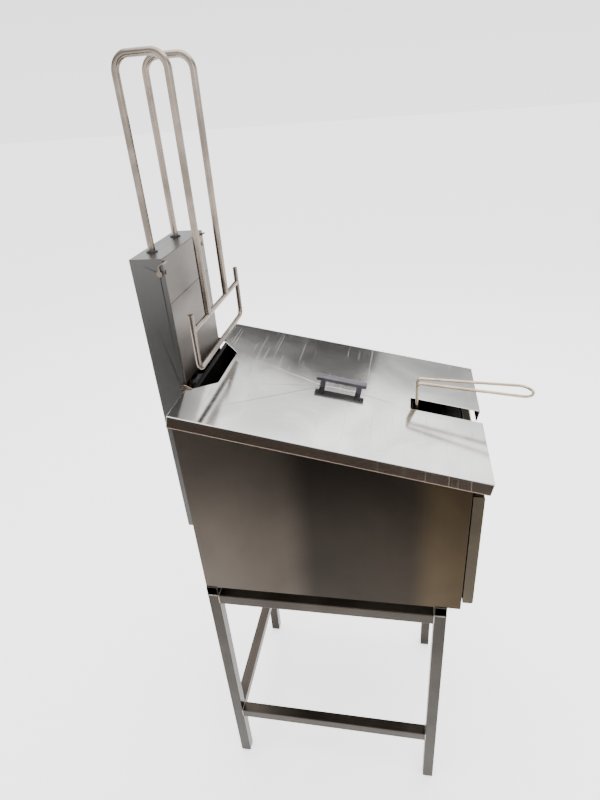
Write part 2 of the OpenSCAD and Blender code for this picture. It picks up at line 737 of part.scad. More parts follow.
// Open-bottomed hooks that stand on the lid beside the tower and sit over the pivot pins
module lid_hinge_ears() {
    ear_w = 2;
    ear_x = tower_w / 2 + notch_gap + 0.5;
    ear_r = 5.4;
    bore = pin_r + spin_gap;
    arm = 20;
    color(steel) for (x = [-ear_x - ear_w, ear_x]) translate([x, pin_y, pin_z]) difference() {
        union() {
            rotate([0, 90, 0]) cylinder(r = ear_r, h = ear_w);
            rotate([90, 0, 90]) linear_extrude(ear_w) polygon([[-ear_r, 0], [ear_r, 0], [ear_r, 14],
                [2, 17], [-5, 17], [-arm, 9], [-arm, 0]]);
        }
        rotate([0, 90, 0]) translate([0, 0, -1]) cylinder(r = bore, h = ear_w + 2);
        translate([-1, -bore, -12]) cube([ear_w + 2, 2 * bore, 12]);
        translate([0, lid_rear_y - pin_y, lid_rear_z - pin_z]) rotate([slope, 0, 0])
            translate([-10, -100, -12]) cube([20, 100, 12]);
    }
}
module lid_handle() {
    bar_w = 18;
    bar_h = 10;
    color("#2a2430") difference() {
        union() {
            on_grip_posts() cylinder(r = 6, h = grip_rise + 2);
            on_lid() intersection() {
                translate([-bar_w / 2, -lid_len / 2 - grip_len / 2, grip_rise])
                    cube([bar_w, grip_len, bar_h]);
                translate([0, -lid_len / 2, grip_rise - 12]) bar_y(20.5, grip_len);
            }
        }
        on_grip_posts() translate([0, 0, -1]) cylinder(r = screw_r, h = 14);
    }
}
module lid_handle_screws() {
    head = 3;
    color(steel) on_grip_posts() {
        translate([0, 0, -sheet - head]) cylinder(r = 4.5, h = head);
        translate([0, 0, -sheet - 1]) cylinder(r = screw_r, h = 13);
    }
}

// ---- basket ----
module basket_body() {
    wall = 3;
    color("gainsboro") difference() {
        span([-basket_w / 2, basket_front_y, basket_bottom_z],
            [basket_w / 2, basket_rear_y, rim_z - rim_r]);
        span([-basket_w / 2 + wall, basket_front_y + wall, basket_bottom_z + wall],
            [basket_w / 2 - wall, basket_rear_y - wall, rim_z + 10]);
    }
}
// Rim wire with the two hooks that the lift's lower bar takes hold of
module basket_rim() {
    bend = 12;
    x = basket_w / 2 - bend;
    y0 = basket_front_y + bend;
    y1 = basket_rear_y - bend;
    hook_r = 2.5;
    hook_bend = 8;
    hook_rise = 22;
    hook_reach = 36;
    color(steel) translate([0, 0, rim_z]) {
        for (sx = [-1, 1]) translate([sx * (x + bend), (y0 + y1) / 2, 0]) bar_y(rim_r, y1 - y0);
        for (y = [y0 - bend, y1 + bend]) translate([0, y, 0]) bar_x(rim_r, 2 * x);
        translate([x, y1, 0]) quarter_bend(bend, rim_r);
        translate([-x, y1, 0]) rotate([0, 0, 90]) quarter_bend(bend, rim_r);
        translate([-x, y0, 0]) rotate([0, 0, 180]) quarter_bend(bend, rim_r);
        translate([x, y0, 0]) rotate([0, 0, 270]) quarter_bend(bend, rim_r);
        for (sx = [-1, 1]) translate([sx * basket_w / 4, basket_rear_y, 0]) {
            cylinder(r = hook_r, h = hook_rise);
            translate([0, hook_bend, hook_rise]) bend_front(hook_bend, hook_r);
            translate([0, hook_reach / 2, hook_rise + hook_bend]) bar_y(hook_r, hook_reach - 2 * hook_bend);
            translate([0, hook_reach - hook_bend, hook_rise]) bend_back(hook_bend, hook_r);
            translate([0, hook_reach, hook_rise - 10]) cylinder(r = hook_r, h = 10);
        }
    }
}
// Points of half the handle: up the shank, over its bend, out along the arm and half way round the end
function handle_half() = concat(
    [for (z = [rim_z - handle_foot, rim_z, handle_top_z - 40, handle_top_z - 8])
        [shank_half, shank_y, z]],
    [for (a = [20:20:80]) [shank_half, shank_y - 8 + 8 * cos(a), handle_top_z - 8 + 8 * sin(a)]],
    [for (a = [0:15:90]) let (y = shank_y - handle_len + loop_half * (1 - sin(a)))
        [loop_half * cos(a), y, handle_top_z - handle_fall * (shank_y - y) / handle_len]]);
module basket_handle() {
    half = handle_half();
    path = concat(half, [for (i = [len(half) - 2:-1:0]) [-half[i][0], half[i][1], half[i][2]]]);
    foot = rim_z - handle_foot;
    color("#b8a892") {
        wire(path, handle_r, 12);
        translate([0, shank_y, handle_top_z - 16]) bar_x(0.8 * handle_r, 2 * shank_half);
        span([-shank_half - handle_r, shank_y, foot + 2], [shank_half + handle_r, basket_front_y, foot + 12]);
    }
}

// Closed round tube along a path of points
module wire(path, r, sides) {
    n = len(path);
    dirs = [for (i = [0:n - 1]) unit(path[min(i + 1, n - 1)] - path[max(i - 1, 0)])];
    function frames(i, s) = i >= n ? [] :
        let (t = unit(s - (s * dirs[i]) * dirs[i])) concat([t], frames(i + 1, t));
    normals = frames(0, [1, 0, 0]);
    rings = [for (i = [0:n - 1]) let (u = normals[i], v = cross(dirs[i], u))
        for (k = [0:sides - 1]) path[i] + r * (cos(360 * k / sides) * u + sin(360 * k / sides) * v)];
    skin = [for (i = [0:n - 2], k = [0:sides - 1])
        let (a = i * sides + k, b = i * sides + (k + 1) % sides) [a, a + sides, b + sides, b]];
    first = [for (k = [0:sides - 1]) k];
    last = [for (k = [sides - 1:-1:0]) (n - 1) * sides + k];
    polyhedron(points = rings, faces = concat(skin, [first], [last]), convexity = 6);
}
function unit(v) = v / norm(v);

leg(-1, -1);  // leg_front_left
leg(1, -1);  // leg_front_right
leg(-1, 1);  // leg_rear_left
leg(1, 1);  // leg_rear_right
foot_plugs();
rail_y(-1, leg_h);  // side_rail_left
rail_y(1, leg_h);  // side_rail_right
cross_tube(-1);  // cross_tube_front
cross_tube(1);  // cross_tube_rear
rail_y(-1, lower_rail_h);  // lower_rail_left
rail_y(1, lower_rail_h);  // lower_rail_right
lower_rail_rear();
side_panel(-1);  // side_panel_left
side_panel(1);  // side_panel_right
front_panel();
rear_panel();
base_panel();
deck();
tank();
drain_pipe();
drain_valve_body();
drain_lever();
heating_element();
element_nuts();
thermostat_bulb();
basket_rest();
control_fascia();
thermostat_body();
timer_body();
terminal_block();
cable_gland();
knob(thermostat_x);  // thermostat_knob
knob(timer_x);  // timer_knob
power_switch_frame();
power_rocker();
pilot_lamps();
tower_casing();
tower_cover_lower();
tower_cover_upper();
tower_catch(-1);  // tower_catch_left
tower_catch(1);  // tower_catch_right
rod_bushes();
rod_guides();
lid_pivot_pins();
gear_motor();
motor_bracket();
drive_pinion();
cane_rod(-1);  // cane_rod_left
cane_rod(1);  // cane_rod_right
hanger_crossbar();
hanger_frame();
lift_crosshead();
drive_rack();
lid_panel();
lid_hinge_ears();
lid_handle();
lid_handle_screws();
basket_body();
basket_rim();
basket_handle();
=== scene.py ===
"""Looks of a floor-standing deep fryer with a motorised basket lift, built around its CAD frame."""

import logging
import math
from dataclasses import dataclass, field
from enum import Enum
from typing import Iterable, Sequence

import bpy
from mathutils import Matrix, Vector


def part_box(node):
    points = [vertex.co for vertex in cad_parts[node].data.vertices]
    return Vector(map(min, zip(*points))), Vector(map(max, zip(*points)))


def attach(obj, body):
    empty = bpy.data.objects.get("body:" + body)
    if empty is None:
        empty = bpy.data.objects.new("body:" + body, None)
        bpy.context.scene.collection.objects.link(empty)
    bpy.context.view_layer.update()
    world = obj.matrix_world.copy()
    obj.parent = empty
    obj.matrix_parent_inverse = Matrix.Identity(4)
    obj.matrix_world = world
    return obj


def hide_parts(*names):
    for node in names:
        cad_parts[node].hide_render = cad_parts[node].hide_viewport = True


log = logging.getLogger("fryer")
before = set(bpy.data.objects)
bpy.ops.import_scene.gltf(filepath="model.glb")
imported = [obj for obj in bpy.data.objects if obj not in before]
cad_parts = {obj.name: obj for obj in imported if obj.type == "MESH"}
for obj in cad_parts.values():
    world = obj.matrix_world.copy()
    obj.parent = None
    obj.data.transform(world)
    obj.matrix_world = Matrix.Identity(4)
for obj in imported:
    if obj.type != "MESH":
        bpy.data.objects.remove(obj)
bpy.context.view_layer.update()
LID_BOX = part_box("lid_panel")
LID_SLOPE = 11.6

Point = tuple[float, float, float]
Colour = tuple[float, float, float]


class Grain(Enum):
    """Direction of the brushing on a sheet or bar, as stretches along X, Y and Z."""

    ALONG_X = (4.0, 900.0, 900.0)
    ALONG_Y = (900.0, 4.0, 900.0)
    ALONG_Z = (900.0, 900.0, 4.0)
    NONE = (500.0, 500.0, 500.0)


class Socket(Enum):
    """Kinds of socket that the geometry trees show as named inputs."""

    GEOMETRY = "NodeSocketGeometry"
    FLOAT = "NodeSocketFloat"
    INT = "NodeSocketInt"
    VECTOR = "NodeSocketVector"
    MATERIAL = "NodeSocketMaterial"


def link(tree: bpy.types.NodeTree, source: bpy.types.NodeSocket, target: bpy.types.NodeSocket) -> None:
    """Joins two sockets of one tree."""
    tree.links.new(source, target)


@dataclass(frozen=True)
class MetalFinish:
    """A brushed or polished metal with grain, soft smudges and tone that drifts over the sheet; where
    asked, it also gets painted reflections in stripes and painted shade on a flange.
    """

    name: str
    light: Colour
    dark: Colour
    roughness: float = 0.3
    roughness_spread: float = 0.12
    grain: Grain = Grain.ALONG_Z
    grain_bump: float = 0.12
    smudge_size: float = 6.0
    wave_bump: float = 0.0
    scratch: float = 0.0
    brushing_share: float = 0.45
    # Painted reflections: tints multiplied in as wide stripes along one axis, at given places.
    painted_reflection_stripes: tuple[tuple[float, Colour], ...] = ()
    painted_reflection_axis: int = 1
    # Painted shade on the flange below the sloping sheet, standing in for its dark reflections.
    painted_shade_depth: float = 0.0
    painted_flange_shade: Colour = (0.34, 0.27, 0.22)

    def build(self) -> bpy.types.Material:
        """Makes the material.

        Returns:
            The material, ready to assign.
        """
        material = bpy.data.materials.new(self.name)
        material.use_nodes = True
        tree = material.node_tree
        shader = tree.nodes["Principled BSDF"]
        shader.inputs["Metallic"].default_value = 1.0
        coords = tree.nodes.new("ShaderNodeTexCoord")
        stretch = tree.nodes.new("ShaderNodeMapping")
        stretch.inputs["Scale"].default_value = self.grain.value
        link(tree, coords.outputs["Object"], stretch.inputs["Vector"])
        brushing = self._noise(tree, stretch.outputs["Vector"], 1.0, 5.0)
        smudges = self._noise(tree, coords.outputs["Object"], self.smudge_size, 6.0, 0.6)
        clouds = self._ramp(tree, smudges, 0.36, 0.66)
        tone = tree.nodes.new("ShaderNodeMix")
        tone.data_type = "RGBA"
        tone.inputs["A"].default_value = (*self.dark, 1.0)
        tone.inputs["B"].default_value = (*self.light, 1.0)
        blend = tree.nodes.new("ShaderNodeMath")
        blend.operation = "MULTIPLY_ADD"
        blend.inputs[1].default_value = 1.0 - self.brushing_share
        link(tree, clouds, blend.inputs[0])
        fine = tree.nodes.new("ShaderNodeMath")
        fine.operation = "MULTIPLY"
        fine.inputs[1].default_value = self.brushing_share
        link(tree, self._ramp(tree, brushing, 0.3, 0.7), fine.inputs[0])
        link(tree, fine.outputs[0], blend.inputs[2])
        link(tree, blend.outputs[0], tone.inputs["Factor"])
        colour = tone.outputs["Result"]
        # Painted reflections, as stripes of tint.
        if self.painted_reflection_stripes:
            colour = self._paint_reflections(tree, coords.outputs["Object"], colour)
        # Painted shade on the flange, standing in for its dark reflections.
        if self.painted_shade_depth:
            colour = self._paint_flange_shade(tree, coords.outputs["Object"], colour)
        link(tree, colour, shader.inputs["Base Color"])
        gloss = tree.nodes.new("ShaderNodeMapRange")
        gloss.inputs["To Min"].default_value = self.roughness - self.roughness_spread / 2
        gloss.inputs["To Max"].default_value = self.roughness + self.roughness_spread / 2
        link(tree, smudges, gloss.inputs["Value"])
        link(tree, gloss.outputs["Result"], shader.inputs["Roughness"])
        bump = self._bump(tree, brushing, self.grain_bump, 0.0004)
        if self.wave_bump:
            waves = self._noise(tree, coords.outputs["Object"], 2.2, 1.0)
            bump_waves = self._bump(tree, waves, self.wave_bump, 0.02)
            link(tree, bump.outputs["Normal"], bump_waves.inputs["Normal"])
            bump = bump_waves
        if self.scratch:
            scratches = self._scratches(tree, coords.outputs["Object"])
            cut = self._bump(tree, scratches, self.scratch, 0.0006)
            link(tree, bump.outputs["Normal"], cut.inputs["Normal"])
            bump = cut
        link(tree, bump.outputs["Normal"], shader.inputs["Normal"])
        return material

    def _paint_reflections(self, tree: bpy.types.NodeTree, vector: bpy.types.NodeSocket,
                colour: bpy.types.NodeSocket) -> bpy.types.NodeSocket:
        """Multiplies painted reflections into the colour, as wide stripes of tint along one axis.

        Args:
            tree: The material's tree.
            vector: The place on the piece.
            colour: The colour to tint.

        Returns:
            The tinted colour.
        """
        split = tree.nodes.new("ShaderNodeSeparateXYZ")
        link(tree, vector, split.inputs["Vector"])
        first, last = self.painted_reflection_stripes[0][0], self.painted_reflection_stripes[-1][0]
        along = tree.nodes.new("ShaderNodeMapRange")
        along.inputs["From Min"].default_value = first
        along.inputs["From Max"].default_value = last
        link(tree, split.outputs[self.painted_reflection_axis], along.inputs["Value"])
        ramp = tree.nodes.new("ShaderNodeValToRGB")
        ramp.color_ramp.interpolation = "EASE"
        stops = ramp.color_ramp.elements
        for i, (place, tint) in enumerate(self.painted_reflection_stripes):
            position = (place - first) / (last - first)
            stop = stops[i] if i < 2 else stops.new(position)
            stop.position = position
            stop.color = (*tint, 1.0)
        link(tree, along.outputs["Result"], ramp.inputs["Fac"])
        tinted = tree.nodes.new("ShaderNodeMix")
        tinted.data_type = "RGBA"
        tinted.blend_type = "MULTIPLY"
        tinted.inputs["Factor"].default_value = 1.0
        link(tree, colour, tinted.inputs["A"])
        link(tree, ramp.outputs["Color"], tinted.inputs["B"])
        return tinted.outputs["Result"]

    def _paint_flange_shade(self, tree: bpy.types.NodeTree, vector: bpy.types.NodeSocket,
                 colour: bpy.types.NodeSocket) -> bpy.types.NodeSocket:
        """Paints shade on what hangs below the sloping sheet, standing in for its dark reflections, and
        returns the new colour.
        """
        high = LID_BOX[1]
        slope = math.radians(LID_SLOPE)
        square = Vector((0.0, -math.sin(slope), math.cos(slope)))
        height = tree.nodes.new("ShaderNodeVectorMath")
        height.operation = "DOT_PRODUCT"
        height.inputs[1].default_value = square
        link(tree, vector, height.inputs[0])
        top = Vector((0.0, high[1], high[2])).dot(square)
        face = self._ramp(tree, height.outputs["Value"], top - self.painted_shade_depth,
                          top - self.painted_shade_depth / 3)
        mixed = tree.nodes.new("ShaderNodeMix")
        mixed.data_type = "RGBA"
        mixed.inputs["A"].default_value = (*self.painted_flange_shade, 1.0)
        link(tree, face, mixed.inputs["Factor"])
        link(tree, colour, mixed.inputs["B"])
        return mixed.outputs["Result"]

    @staticmethod
    def _noise(tree: bpy.types.NodeTree, vector: bpy.types.NodeSocket, scale: float, detail: float,
               distortion: float = 0.0) -> bpy.types.NodeSocket:
        """Adds a noise texture.

        Args:
            tree: The material's tree.
            vector: The coordinates that it reads.
            scale: Its scale.
            detail: Its number of octaves.
            distortion: How far it is warped.

        Returns:
            The noise's value.
        """
        noise = tree.nodes.new("ShaderNodeTexNoise")
        noise.inputs["Scale"].default_value = scale
        noise.inputs["Detail"].default_value = detail
        noise.inputs["Distortion"].default_value = distortion
        link(tree, vector, noise.inputs["Vector"])
        return noise.outputs["Fac"]

    @staticmethod
    def _ramp(tree: bpy.types.NodeTree, value: bpy.types.NodeSocket, low: float,
              high: float) -> bpy.types.NodeSocket:
        """Spreads a value from low and high to 0 and 1, and returns the result."""
        spread = tree.nodes.new("ShaderNodeMapRange")
        spread.interpolation_type = "SMOOTHSTEP"
        spread.inputs["From Min"].default_value = low
        spread.inputs["From Max"].default_value = high
        link(tree, value, spread.inputs["Value"])
        return spread.outputs["Result"]

    @staticmethod
    def _bump(tree: bpy.types.NodeTree, height: bpy.types.NodeSocket, strength: float,
              distance: float) -> bpy.types.Node:
        """Adds a bump node over a height and returns it."""
        bump = tree.nodes.new("ShaderNodeBump")
        bump.inputs["Strength"].default_value = strength
        bump.inputs["Distance"].default_value = distance
        link(tree, height, bump.inputs["Height"])
        return bump

    @staticmethod
    def _scratches(tree: bpy.types.NodeTree, vector: bpy.types.NodeSocket) -> bpy.types.NodeSocket:
        """Adds sparse hairline scratches in two directions and returns their height."""
        heights: list[bpy.types.NodeSocket] = []
        for turn in (0.5, -0.9):
            place = tree.nodes.new("ShaderNodeMapping")
            place.inputs["Rotation"].default_value = (0.0, 0.0, turn)
            place.inputs["Scale"].default_value = (3.0, 260.0, 3.0)
            link(tree, vector, place.inputs["Vector"])
            lines = MetalFinish._noise(tree, place.outputs["Vector"], 1.0, 2.0)
            heights.append(MetalFinish._ramp(tree, lines, 0.68, 0.74))
        both = tree.nodes.new("ShaderNodeMath")
        both.operation = "MAXIMUM"
        link(tree, heights[0], both.inputs[0])
        link(tree, heights[1], both.inputs[1])
        return both.outputs[0]


@dataclass(frozen=True)
class PlasticFinish:
    """A moulded plastic or painted skin with a fine texture and rubbed patches."""

    name: str
    light: Colour
    dark: Colour
    roughness: float = 0.45
    texture_scale: float = 900.0
    texture_bump: float = 0.15
    transmission: float = 0.0

    def build(self) -> bpy.types.Material:
        """Makes the material and returns it."""
        material = bpy.data.materials.new(self.name)
        material.use_nodes = True
        tree = material.node_tree
        shader = tree.nodes["Principled BSDF"]
        shader.inputs["Metallic"].default_value = 0.0
        shader.inputs["Transmission Weight"].default_value = self.transmission
        coords = tree.nodes.new("ShaderNodeTexCoord")
        pattern = MetalFinish._noise(tree, coords.outputs["Object"], self.texture_scale, 3.0)
        rubbed = MetalFinish._noise(tree, coords.outputs["Object"], 28.0, 5.0)
        tone = tree.nodes.new("ShaderNodeMix")
        tone.data_type = "RGBA"
        tone.inputs["A"].default_value = (*self.dark, 1.0)
        tone.inputs["B"].default_value = (*self.light, 1.0)
        link(tree, MetalFinish._ramp(tree, rubbed, 0.35, 0.7), tone.inputs["Factor"])
        link(tree, tone.outputs["Result"], shader.inputs["Base Color"])
        gloss = tree.nodes.new("ShaderNodeMapRange")
        gloss.inputs["To Min"].default_value = self.roughness - 0.1
        gloss.inputs["To Max"].default_value = self.roughness + 0.1
        link(tree, rubbed, gloss.inputs["Value"])
        link(tree, gloss.outputs["Result"], shader.inputs["Roughness"])
        bump = MetalFinish._bump(tree, pattern, self.texture_bump, 0.0003)
        link(tree, bump.outputs["Normal"], shader.inputs["Normal"])
        return material


@dataclass
class GeometryTree:
    """A geometry node tree with named inputs, which ends in Realize Instances and Set Material."""

    name: str
    inputs: dict[str, Socket]
    tree: bpy.types.NodeTree = field(init=False)
    start: bpy.types.Node = field(init=False)

    def __post_init__(self) -> None:
        """Makes the empty tree with its named inputs."""
        self.tree = bpy.data.node_groups.new(self.name, "GeometryNodeTree")
        panel = self.tree.interface
        panel.new_socket("Geometry", in_out="INPUT", socket_type=Socket.GEOMETRY.value)
        for name, kind in self.inputs.items():
            panel.new_socket(name, in_out="INPUT", socket_type=kind.value)
        panel.new_socket("Material", in_out="INPUT", socket_type=Socket.MATERIAL.value)
        panel.new_socket("Geometry", in_out="OUTPUT", socket_type=Socket.GEOMETRY.value)
        self.start = self.tree.nodes.new("NodeGroupInput")

    def node(self, kind: str, **values: object) -> bpy.types.Node:
        """Adds a node and sets or links its inputs.

        Args:
            kind: The node's type.
            **values: Inputs by name, with spaces as underscores: a value, or a socket to link.

        Returns:
            The new node.
        """
        node = self.tree.nodes.new(kind)
        for name, value in values.items():
            socket = node.inputs[name.replace("_", " ")]
            if isinstance(value, bpy.types.NodeSocket):
                link(self.tree, value, socket)
            else:
                socket.default_value = value
        return node

    def close(self, geometry: bpy.types.NodeSocket) -> None:
        """Ends the tree: real geometry with the material, sent to the output."""
        real = self.node("GeometryNodeRealizeInstances", Geometry=geometry)
        dressed = self.node("GeometryNodeSetMaterial", Geometry=real.outputs[0],
                            Material=self.start.outputs["Material"])
        self.node("NodeGroupOutput", Geometry=dressed.outputs[0])

    def apply(self, name: str, seed: bpy.types.Mesh, material: bpy.types.Material,
              **sizes: object) -> bpy.types.Object:
        """Runs the tree over a seed mesh and keeps the plain result.

        Args:
            name: The piece's name.
            seed: The mesh that the tree starts from.
            material: The finish.
            **sizes: The named inputs, with spaces as underscores.

        Returns:
            The finished object, with no modifier left.
        """
        piece = bpy.data.objects.new(name, seed)
        bpy.context.collection.objects.link(piece)
        modifier = piece.modifiers.new(self.name, "NODES")
        modifier.node_group = self.tree
        keys = {item.name: item.identifier for item in self.tree.interface.items_tree
                if item.item_type == "SOCKET" and item.in_out == "INPUT"}
        modifier[keys["Material"]] = material
        for size, value in sizes.items():
            modifier[keys[size.replace("_", " ")]] = value
        bpy.context.view_layer.update()
        graph = bpy.context.evaluated_depsgraph_get()
        result = bpy.data.meshes.new_from_object(piece.evaluated_get(graph))
        piece.modifiers.clear()
        piece.data = result
        result.name = name
        log.info("%s: %d faces", name, len(result.polygons))
        return piece


def wire_tree() -> GeometryTree:
    """Makes the tree that turns each run of edges into a round wire, and returns it."""
    made = GeometryTree("wires", {"Radius": Socket.FLOAT, "Sides": Socket.INT})
    path = made.node("GeometryNodeMeshToCurve", Mesh=made.start.outputs["Geometry"])
    ring = made.node("GeometryNodeCurvePrimitiveCircle", Resolution=made.start.outputs["Sides"],
                     Radius=made.start.outputs["Radius"])
    tube = made.node("GeometryNodeCurveToMesh", Curve=path.outputs[0], Profile_Curve=ring.outputs[0])
    tube.inputs["Fill Caps"].default_value = True
    made.close(tube.outputs[0])
    return made


def head_tree() -> GeometryTree:
    """Makes the tree that sets a domed screw head on each point, and returns it."""
    made = GeometryTree("screw heads", {"Radius": Socket.FLOAT, "Squash": Socket.VECTOR})
    dome = made.node("GeometryNodeMeshUVSphere", Segments=20, Rings=10,
                     Radius=made.start.outputs["Radius"])
    placed = made.node("GeometryNodeInstanceOnPoints", Points=made.start.outputs["Geometry"],
                       Instance=dome.outputs["Mesh"], Scale=made.start.outputs["Squash"])
    made.close(placed.outputs[0])
    return made


def tick_tree() -> GeometryTree:
    """Makes the tree that sets a bar on each point, turned outwards from the middle, and returns it."""
    made = GeometryTree("dial ticks", {"Bar": Socket.VECTOR, "Centre": Socket.VECTOR})
    bar = made.node("GeometryNodeMeshCube", Size=made.start.outputs["Bar"])
    place = made.node("GeometryNodeInputPosition")
    outward = made.tree.nodes.new("ShaderNodeVectorMath")
    outward.operation = "SUBTRACT"
    link(made.tree, place.outputs[0], outward.inputs[0])
    link(made.tree, made.start.outputs["Centre"], outward.inputs[1])
    turn = made.tree.nodes.new("FunctionNodeAlignRotationToVector")
    turn.axis = "Z"
    link(made.tree, outward.outputs[0], turn.inputs["Vector"])
    placed = made.node("GeometryNodeInstanceOnPoints", Points=made.start.outputs["Geometry"],
                       Instance=bar.outputs["Mesh"], Rotation=turn.outputs[0])
    made.close(placed.outputs[0])
    return made


def runs_mesh(name: str, runs: Iterable[Sequence[Point]]) -> bpy.types.Mesh:
    """Makes a mesh of separate runs of edges.

    Args:
        name: The mesh's name.
        runs: The points of each run, in order. A run of one point is a lone vertex.

    Returns:
        The mesh.
    """
    points: list[Point] = []
    edges: list[tuple[int, int]] = []
    for run in runs:
        first = len(points)
        points.extend(run)
        edges.extend((i, i + 1) for i in range(first, len(points) - 1))
    mesh = bpy.data.meshes.new(name)
    mesh.from_pydata(points, edges, [])
    return mesh


@dataclass
class Workshop:
    """The finishes and trees that all the sub-assemblies share."""

    finishes: dict[str, bpy.types.Material] = field(default_factory=dict)
    wires: GeometryTree = field(default_factory=wire_tree)
    heads: GeometryTree = field(default_factory=head_tree)
    ticks: GeometryTree = field(default_factory=tick_tree)

    def add(self, key: str, finish: MetalFinish | PlasticFinish) -> None:
        """Builds a finish and keeps it under a short key."""
        self.finishes[key] = finish.build()

    def dress(self, key: str, *nodes: str) -> None:
        """Gives CAD nodes a finish."""
        for name in nodes:
            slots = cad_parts[name].material_slots
            for slot in slots:
                slot.material = self.finishes[key]

    @staticmethod
    def soften(width: float, *nodes: str) -> None:
        """Rounds the sharp edges of CAD nodes by a width in metres."""
        for name in nodes:
            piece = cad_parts[name]
            weld = piece.modifiers.new("join", "WELD")
            weld.merge_threshold = 1e-5
            edge = piece.modifiers.new("edge", "BEVEL")
            edge.width = width
            edge.segments = 2
            edge.limit_method = "ANGLE"
            edge.angle_limit = math.radians(50)
            edge.harden_normals = False


@dataclass
class Stand:
    """The open stand of square tube on plastic feet."""

    bead: float = 0.0013
    tubes: tuple[str, ...] = (
        "leg_front_left", "leg_front_right", "leg_rear_left", "leg_rear_right", "side_rail_left",
        "side_rail_right", "cross_tube_front", "cross_tube_rear", "lower_rail_left",
        "lower_rail_right", "lower_rail_rear")

    def build(self, shop: Workshop) -> None:
        """Dresses the tubes and lays the weld beads round the ends of the rails."""
        shop.dress("tube_up", "leg_front_left", "leg_front_right", "leg_rear_left", "leg_rear_right")
        shop.dress("tube_deep", "side_rail_left", "side_rail_right", "lower_rail_left", "lower_rail_right")
        shop.dress("tube_across", "cross_tube_front", "cross_tube_rear", "lower_rail_rear")
        shop.dress("black", "foot_plugs")
        shop.soften(0.0011, *self.tubes)
        seed = runs_mesh("stand_welds", self._beads())
        welds = shop.wires.apply("stand_welds", seed, shop.finishes["weld"], Radius=self.bead, Sides=8)
        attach(welds, "cabinet")

    def _beads(self) -> list[list[Point]]:
        """Returns the runs of the weld beads: a loop round each end of each rail."""
        runs: list[list[Point]] = []
        for name in ("side_rail_left", "side_rail_right", "lower_rail_left", "lower_rail_right"):
            low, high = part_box(name)
            for y in (low[1], high[1]):
                runs.append(self._loop((low[0], y, low[2]), (high[0], y, high[2]), 1))
        low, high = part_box("lower_rail_rear")
        for x in (low[0], high[0]):
            runs.append(self._loop((x, low[1], low[2]), (x, high[1], high[2]), 0))
        for name in ("leg_front_left", "leg_front_right", "leg_rear_left", "leg_rear_right"):
            low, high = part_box(name)
            runs.append(self._loop((low[0], low[1], high[2]), (high[0], high[1], high[2]), 2))
        return runs

    def _loop(self, low: Point, high: Point, across: int) -> list[Point]:
        """Returns a slightly uneven open loop round a tube's end, square to the given axis."""
        a, b = [axis for axis in range(3) if axis != across]
        inset = self.bead * 0.35
        corners = [(low[a] + inset, low[b] + inset), (high[a] - inset, low[b] + inset),
                   (high[a] - inset, high[b] - inset), (low[a] + inset, high[b] - inset)]
        loop: list[Point] = []
        steps = 12
        for i in range(4):
            start, end = corners[i], corners[(i + 1) % 4]
            for k in range(steps):
                t = (k + (1 if i == 0 else 0) * 0.5) / steps
                ripple = self.bead * 0.22 * math.sin(9.0 * (i * steps + k))
                point = [0.0, 0.0, 0.0]
                point[across] = low[across] + ripple
                point[a] = start[0] + (end[0] - start[0]) * t
                point[b] = start[1] + (end[1] - start[1]) * t
                loop.append((point[0], point[1], point[2]))
        return loop


@dataclass
class Cabinet:
    """The folded cabinet, its deck and tank, and what is in them."""

    screw_r: float = 0.0042

    def build(self, shop: Workshop) -> None:
        """Dresses the sheets and the inside pieces, and adds the screws at the back."""
        shop.dress("side_sheet", "side_panel_left", "side_panel_right")
        shop.dress("front_sheet", "front_panel", "rear_panel", "base_panel")
        shop.dress("deck_sheet", "deck")
        shop.dress("tank_sheet", "tank")
        shop.soften(0.0007, "side_panel_left", "side_panel_right", "front_panel", "rear_panel", "deck")
        shop.dress("wire", "basket_rest")
        shop.dress("burnt", "heating_element")
        shop.dress("brass", "element_nuts", "drain_valve_body")
        shop.dress("copper", "thermostat_bulb")
        shop.dress("satin", "drain_pipe")
        shop.dress("red", "drain_lever")
        shop.dress("black", "cable_gland")
        shop.dress("white", "terminal_block")
        low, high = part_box("rear_panel")
        side = 0.018
        spots: list[list[Point]] = []
        for z in (low[2] + side, (low[2] + high[2]) / 2, high[2] - side):
            for x in (low[0] + side, high[0] - side):
                spots.append([(x, high[1], z)])
        screws = shop.heads.apply("rear_panel_screws", runs_mesh("rear_panel_screws", spots),
                                  shop.finishes["satin"], Radius=self.screw_r, Squash=(1.0, 0.45, 1.0))
        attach(screws, "cabinet")


@dataclass
class Controls:
    """The fascia with its two dials, switch and lamps."""

    dial_r: float = 0.024
    tick: Point = (0.0008, 0.0005, 0.004)
    tick_count: int = 11
    sweep: float = 300.0

    def build(self, shop: Workshop) -> None:
        """Dresses the controls and marks the scales round the dials."""
        shop.dress("fascia_sheet", "control_fascia")
        shop.soften(0.0007, "control_fascia")
        shop.dress("white", "thermostat_body", "timer_body")
        shop.dress("black", "thermostat_knob", "timer_knob", "power_switch_frame")
        shop.soften(0.0009, "thermostat_knob", "timer_knob")
        shop.dress("red", "power_rocker")
        shop.dress("amber", "pilot_lamps")
        face_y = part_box("control_fascia")[0][1]
        for name in ("thermostat_knob", "timer_knob"):
            low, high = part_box(name)
            centre = ((low[0] + high[0]) / 2, face_y, (low[2] + high[2]) / 2)
            seed = runs_mesh(f"{name}_scale", self._spots(centre))
            scale = shop.ticks.apply(f"{name}_scale", seed, shop.finishes["ink"], Bar=self.tick,
                                     Centre=centre)
            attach(scale, "cabinet")

    def _spots(self, centre: Point) -> list[list[Point]]:
        """Returns the places of a dial's ticks, with the gap of the scale at the bottom."""
        spots: list[list[Point]] = []
        for i in range(self.tick_count):
            angle = math.radians(-self.sweep / 2 + self.sweep * i / (self.tick_count - 1))
            spots.append([(centre[0] + self.dial_r * math.sin(angle), centre[1],
                           centre[2] + self.dial_r * math.cos(angle))])
        return spots


